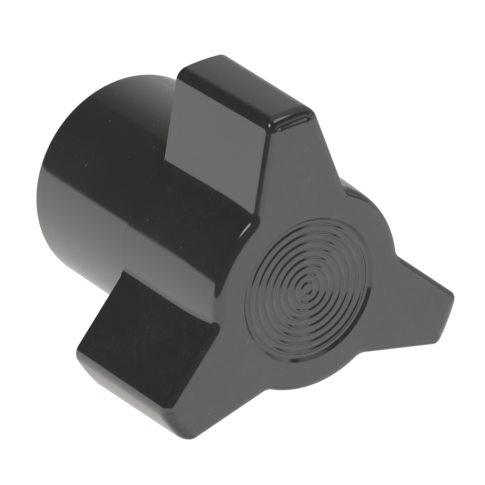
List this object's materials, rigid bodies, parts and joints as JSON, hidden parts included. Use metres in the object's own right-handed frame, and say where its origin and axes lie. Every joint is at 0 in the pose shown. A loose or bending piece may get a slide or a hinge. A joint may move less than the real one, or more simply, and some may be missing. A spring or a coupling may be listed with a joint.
{
  "type": "wing nut",
  "caption": "Three-wing clamping nut: a black phenolic hub with tapered wings and a ringed front recess, moulded round a blind threaded brass insert.",
  "frame": {"origin": "on the thread axis, at the insert's seating end", "axes": "+Z along the thread axis, from the seating end to the ringed front face; one wing points along -Y"},
  "size_m": [0.0524, 0.0459, 0.0494],
  "materials": {
    "phenolic": "polished black phenolic moulding",
    "brass": "turned, straight knurled and tapped"
  },
  "bodies": {
    "root": {"knob_body": "phenolic", "threaded_insert": "brass"}
  },
  "joints": []
}
